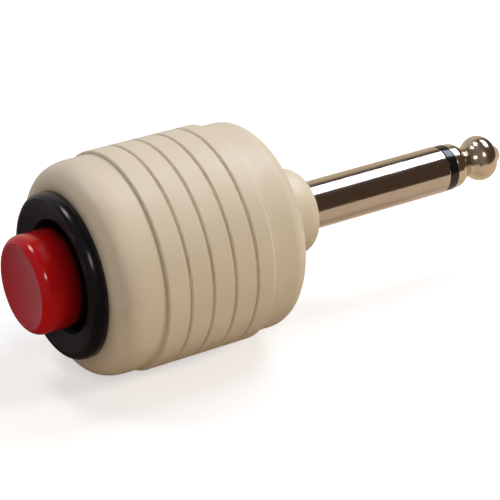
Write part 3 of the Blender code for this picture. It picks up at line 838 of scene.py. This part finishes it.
def cap(material):
    """Red cap with a rounded edge, a dished face and the stop rim inside the bush."""
    front_x, rear_x, stop_radius = span("button_cap")
    stop_x = rear_x - CAP_STOP_HEIGHT
    socket_end = front_x + CAP_WALL
    side_x = front_x + CAP_EDGE_RADIUS
    gap_x = span("switch_bezel")[0] + BEZEL_MOUTH_DEPTH
    corners = cap_face_corners(front_x)
    for i in range(1, CAP_SIDE_STEPS + 1):
        corners.append((side_x + (gap_x - side_x) * i / CAP_SIDE_STEPS, CAP_RADIUS, 0.0))
    corners += [(stop_x, CAP_RADIUS, SMALL_FILLET), (stop_x, stop_radius, FINE_FILLET)]
    corners += [(rear_x, stop_radius, FINE_FILLET), (rear_x, CAP_SOCKET_RADIUS, FINE_FILLET)]
    corners += [(socket_end, CAP_SOCKET_RADIUS, CAP_SOCKET_FILLET), (socket_end, 0.0, 0.0)]

    def touched_and_shade(x, radius):
        if radius <= CAP_FACE_RADIUS and x < front_x + CAP_DISH_DEPTH + GAP:
            return 1.0
        # along the side, deeper painted shade towards the gap in the bezel
        return -min(1.0, max(0.0, (x - side_x) / (gap_x - side_x)) ** PAINTED_SHADE_POWER)

    obj = turned("cap", rounded(corners), SWITCH_SEGMENTS, touched_and_shade)
    place(obj, material, "button", "red_plastic", "button_cap")


# ---------------------------------------------------------------- phone plug

PLUG_RADIUS = 3.175 * MM
PLUG_EDGE = 0.18 * MM
SLEEVE_BORE = 1.8 * MM
SLEEVE_BORE_EDGE = 0.08 * MM
NECK_RADIUS = 2.9 * MM
SHANK_RADIUS = 3.4 * MM
SHANK_REAR_X = -9.5 * MM
FLANGE_REAR_X = -3.9 * MM
FLANGE_FRONT_X = -2.1 * MM
RING_EDGE = 0.12 * MM

TIP_GAP = 0.05 * MM  # from the insulating ring to the tip
TIP_ROD_RADIUS = 1.0 * MM
TIP_SHOULDER_RADIUS = 3.0 * MM
TIP_SHOULDER_LENGTH = 1.15 * MM
TIP_SHOULDER_FILLET = 1.2 * MM
TIP_NECK_RADIUS = 1.95 * MM
TIP_NECK_FILLET = 0.35 * MM
TIP_NECK = 2.75 * MM  # from the tip's rear face to the middle of its neck
TIP_BALL = 5.5 * MM  # and to the middle of its ball
TIP_BALL_HALF_LENGTH = 2.1 * MM
TIP_BALL_POWER = 0.75
TIP_BALL_STEPS = 24
TIP_BALL_START = 138  # degrees from the front of the ball, where it leaves the neck
TIP_BALL_END = 30  # and where the nose begins
TIP_NOSE_RADIUS = 0.75 * MM
TIP_NOSE_ROUND = 0.2 * MM
TIP_NOSE_FILLET = 0.3 * MM
ROD_HEAD_RADIUS = 1.5 * MM
ROD_HEAD_LENGTH = 0.6 * MM
ROD_HEAD_FILLET = 0.25 * MM


def sleeve(material):
    """Sleeve contact, with its flange, shank and neck inside the handle."""
    rear_x, end_x, flange_radius = span("plug_sleeve")
    corners = [(rear_x, SLEEVE_BORE, SLEEVE_BORE_EDGE), (rear_x, NECK_RADIUS, PLUG_EDGE)]
    corners += [(SHANK_REAR_X, NECK_RADIUS, 0.0), (SHANK_REAR_X, SHANK_RADIUS, PLUG_EDGE)]
    corners += [(FLANGE_REAR_X, SHANK_RADIUS, 0.0), (FLANGE_REAR_X, flange_radius, PLUG_EDGE)]
    corners += [(FLANGE_FRONT_X, flange_radius, PLUG_EDGE), (FLANGE_FRONT_X, PLUG_RADIUS, 0.0)]
    corners += [(end_x, PLUG_RADIUS, PLUG_EDGE), (end_x, SLEEVE_BORE, SLEEVE_BORE_EDGE)]
    obj = turned("sleeve", rounded(corners), PLUG_SEGMENTS)
    place(obj, material, "handle", "nickel_plate", "plug_sleeve")


def ball_corners(ball_x, ball_radius):
    """The tip's ball, from its neck to its nose."""
    corners = []
    for i in range(TIP_BALL_STEPS + 1):
        angle = radians(TIP_BALL_START - (TIP_BALL_START - TIP_BALL_END) * i / TIP_BALL_STEPS)
        x = ball_x + TIP_BALL_HALF_LENGTH * cos(angle)
        corners.append((x, ball_radius * sin(angle) ** TIP_BALL_POWER, 0.0))
    return corners


def tip(material):
    """Tip contact: shoulder, neck, ball and blunt nose, and the rod that runs back through the sleeve."""
    rod_x, end_x, ball_radius = span("plug_tip")
    start_x = span("tip_insulator_ring")[1] + TIP_GAP
    shoulder_x = start_x + TIP_SHOULDER_LENGTH
    head_x = rod_x + ROD_HEAD_LENGTH
    corners = [(rod_x, 0.0, 0.0), (rod_x, ROD_HEAD_RADIUS, ROD_HEAD_FILLET)]
    corners += [(head_x, ROD_HEAD_RADIUS, FINE_FILLET), (head_x, TIP_ROD_RADIUS, 0.0)]
    corners += [(start_x, TIP_ROD_RADIUS, 0.0), (start_x, TIP_SHOULDER_RADIUS, FINE_FILLET)]
    corners += [(shoulder_x, TIP_SHOULDER_RADIUS, TIP_SHOULDER_FILLET)]
    corners += [(start_x + TIP_NECK, TIP_NECK_RADIUS, TIP_NECK_FILLET)]
    corners += ball_corners(start_x + TIP_BALL, ball_radius)
    corners += [(end_x - TIP_NOSE_ROUND, TIP_NOSE_RADIUS + TIP_NOSE_ROUND, TIP_NOSE_FILLET)]
    corners += [(end_x, TIP_NOSE_RADIUS / 2, FILLET), (end_x, 0.0, 0.0)]
    obj = turned("tip", rounded(corners), PLUG_SEGMENTS)
    place(obj, material, "handle", "nickel_plate", "plug_tip")


def ring(material):
    """Black insulating ring between sleeve and tip."""
    low, high, radius = span("tip_insulator_ring")
    bore = TIP_ROD_RADIUS + GAP
    corners = [(low, bore, 0.0), (low, radius, RING_EDGE), (high, radius, RING_EDGE), (high, bore, 0.0)]
    obj = turned("ring", rounded(corners), PLUG_SEGMENTS)
    place(obj, material, "handle", "black_plastic", "tip_insulator_ring")


# ---------------------------------------------------------------- inside the handle

SPRING_WIRE_RADIUS = 0.2 * MM
SPRING_TURNS = 7
SPRING_TURN_STEPS = 28
SPRING_WIRE_STEPS = 10


def coil_share(share, closed_rise):
    """How far along the spring a share of the wire is: the first and last turns lie nearly flat."""
    flat = 1 / SPRING_TURNS
    if share < flat:
        return closed_rise * share / flat
    if share > 1 - flat:
        return 1 - closed_rise * (1 - share) / flat
    return closed_rise + (1 - 2 * closed_rise) * (share - flat) / (1 - 2 * flat)


def wire_ring(bm, centre, outward):
    """One ring of vertices round the spring's wire."""
    verts = []
    for k in range(SPRING_WIRE_STEPS):
        angle = 2 * pi * k / SPRING_WIRE_STEPS
        offset = outward * cos(angle) + Vector((sin(angle), 0, 0))
        verts.append(bm.verts.new(centre + SPRING_WIRE_RADIUS * offset))
    return verts


def spring_mesh(low_x, high_x, outer_radius):
    """A round wire wound into a helix with closed ends."""
    coil = outer_radius - SPRING_WIRE_RADIUS
    start = low_x + SPRING_WIRE_RADIUS
    length = high_x - low_x - 2 * SPRING_WIRE_RADIUS
    closed_rise = 2 * SPRING_WIRE_RADIUS / length
    steps = SPRING_TURNS * SPRING_TURN_STEPS
    bm = bmesh.new()
    rings = []
    for i in range(steps + 1):
        angle = 2 * pi * i / SPRING_TURN_STEPS
        x = start + length * coil_share(i / steps, closed_rise)
        centre = Vector((x, coil * cos(angle), coil * sin(angle)))
        rings.append(wire_ring(bm, centre, Vector((0.0, cos(angle), sin(angle)))))
    for near, far in zip(rings, rings[1:]):
        for k in range(SPRING_WIRE_STEPS):
            after = (k + 1) % SPRING_WIRE_STEPS
            bm.faces.new((near[k], near[after], far[after], far[k]))
    bm.faces.new(rings[0][::-1])
    bm.faces.new(rings[-1])
    bmesh.ops.recalc_face_normals(bm, faces=bm.faces)
    mesh = bpy.data.meshes.new("spring")
    bm.to_mesh(mesh)
    bm.free()
    mesh.shade_smooth()
    return mesh


def spring(material):
    """Return spring, wound to the length of the CAD node. On the real buzzer it shortens as the button goes
    in.
    """
    low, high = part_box("return_spring")
    obj = add_object("spring", spring_mesh(low.x, high.x, high.z))
    place(obj, material, "handle", "spring_steel", "return_spring")
    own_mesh(obj)


def dress(material, *nodes):
    """Gives carried-over CAD nodes their finished material."""
    for name in nodes:
        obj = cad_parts[name]
        for slot in obj.material_slots:
            slot.material = material


def inner_metals():
    """Brass contacts, the switch's nickel-plated nut and washer, spring steel and solder."""
    brass = surface(
        "brass",
        colour=(0.62, 0.43, 0.16),
        tint=(0.50, 0.33, 0.13),
        roughness=(0.22, 0.4),
        metallic=1.0,
        blotch=400.0,
        wear_and_highlight=(0.75, 0.58, 0.28),
        stretch=(1.0, 0.1, 0.1),
    )
    dress(brass, "fixed_contact_left", "fixed_contact_right", "terminal_left", "terminal_right")
    dress(brass, "contact_bridge", "plug_retaining_nut", "tip_lug", "sleeve_lug")
    plate = nickel("inner_nickel", colour=(0.56, 0.54, 0.50), roughness=(0.2, 0.35))
    dress(plate, "lock_washer", "switch_nut")
    steel = surface(
        "spring_steel",
        colour=(0.42, 0.42, 0.43),
        tint=(0.32, 0.32, 0.34),
        roughness=(0.25, 0.4),
        metallic=1.0,
        wear_and_highlight=(0.6, 0.6, 0.6),
    )
    dress(steel, "bridge_clip")
    spring(steel)
    solder = surface(
        "solder",
        colour=(0.52, 0.52, 0.53),
        tint=(0.36, 0.36, 0.38),
        roughness=(0.28, 0.5),
        metallic=1.0,
        blotch=700.0,
    )
    dress(solder, "solder_terminal_left", "solder_terminal_right", "solder_tip_lug", "solder_sleeve_lug")


def inner_plastics():
    """The white plunger and tube, the brown phenolic insulators, and the insulation of the two wires."""
    white = surface(
        "white_plastic",
        colour=(0.78, 0.77, 0.73),
        tint=(0.72, 0.71, 0.66),
        roughness=(0.35, 0.5),
        wear_and_highlight=(0.84, 0.83, 0.8),
    )
    dress(white, "plunger", "insulator_tube")
    phenolic = surface(
        "phenolic",
        colour=(0.20, 0.085, 0.03),
        tint=(0.12, 0.05, 0.02),
        roughness=(0.45, 0.62),
        blotch=500.0,
        wear_and_highlight=(0.30, 0.15, 0.07),
        stretch=(6.0, 1.0, 1.0),
    )
    dress(phenolic, "switch_base", "rear_insulator_washer")
    red_wire = surface("red_wire", (0.45, 0.015, 0.015), (0.34, 0.01, 0.01), roughness=(0.38, 0.55))
    dress(red_wire, "wire_tip")
    black_wire = surface("black_wire", (0.015, 0.015, 0.016), (0.03, 0.03, 0.03), roughness=(0.38, 0.55))
    dress(black_wire, "wire_sleeve")


# ---------------------------------------------------------------- assembly


def build():
    bpy.context.scene.view_settings.view_transform = "Standard"
    camera()
    studio_light()
    room_light()
    floor()
    backdrop()
    cream = cream_plastic()
    front_shell(cream)
    rear_shell(cream)
    bezel(black_plastic())
    cap(red_plastic())
    sleeve(nickel("nickel_plate", colour=(0.61, 0.535, 0.44), roughness=(0.10, 0.16)))
    tip(nickel("tip_plate", colour=(0.72, 0.62, 0.46), roughness=(0.15, 0.22)))
    ring(ring_plastic())
    inner_metals()
    inner_plastics()


build()
